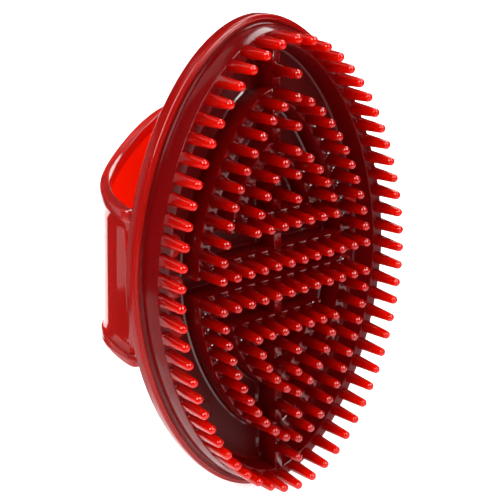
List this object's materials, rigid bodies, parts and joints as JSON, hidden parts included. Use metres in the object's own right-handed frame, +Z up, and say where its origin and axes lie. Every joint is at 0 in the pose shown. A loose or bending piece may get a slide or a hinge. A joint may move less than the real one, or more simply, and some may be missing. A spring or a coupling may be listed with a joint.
{
  "type": "rubber curry brush",
  "caption": "Oval soft rubber curry brush with rings and ribs of tapered teeth on its face and a rubber hand strap across its back.",
  "frame": {"origin": "on the ground plane, under the middle of the bounding box, with the brush standing on the lower end of its oval", "axes": "+Z up along the long axis of the oval, the teeth point to -Y and the hand strap is on the +Y side"},
  "size_m": [0.104, 0.0734, 0.165],
  "materials": {
    "red_rubber": "gloss",
    "strap_rubber": "gloss"
  },
  "bodies": {
    "brush": {"back_plate": "red_rubber", "rim_bead": "red_rubber", "outer_wall": "red_rubber", "upper_outer_rib": "red_rubber", "lower_outer_rib": "red_rubber", "upper_inner_rib": "red_rubber", "lower_inner_rib": "red_rubber", "spine_rib": "red_rubber", "outer_wall_teeth": "red_rubber", "upper_outer_teeth": "red_rubber", "lower_outer_teeth": "red_rubber", "upper_inner_teeth": "red_rubber", "lower_inner_teeth": "red_rubber", "spine_teeth": "red_rubber", "strap_left_end": "strap_rubber", "strap_right_end": "strap_rubber", "strap_left_studs": "strap_rubber", "strap_right_studs": "strap_rubber"},
    "hand_loop": {"strap_band": "strap_rubber", "strap_upper_bead": "strap_rubber", "strap_lower_bead": "strap_rubber"}
  },
  "joints": [
    {"name": "strap_rock", "type": "hinge", "parent": "brush", "child": "hand_loop", "pos_m": [0, -0.00743, 0.0825], "axis": [1, 0, 0], "range_deg": [-13, 3], "stiffness_Nm_per_rad": 0.6}
  ]
}
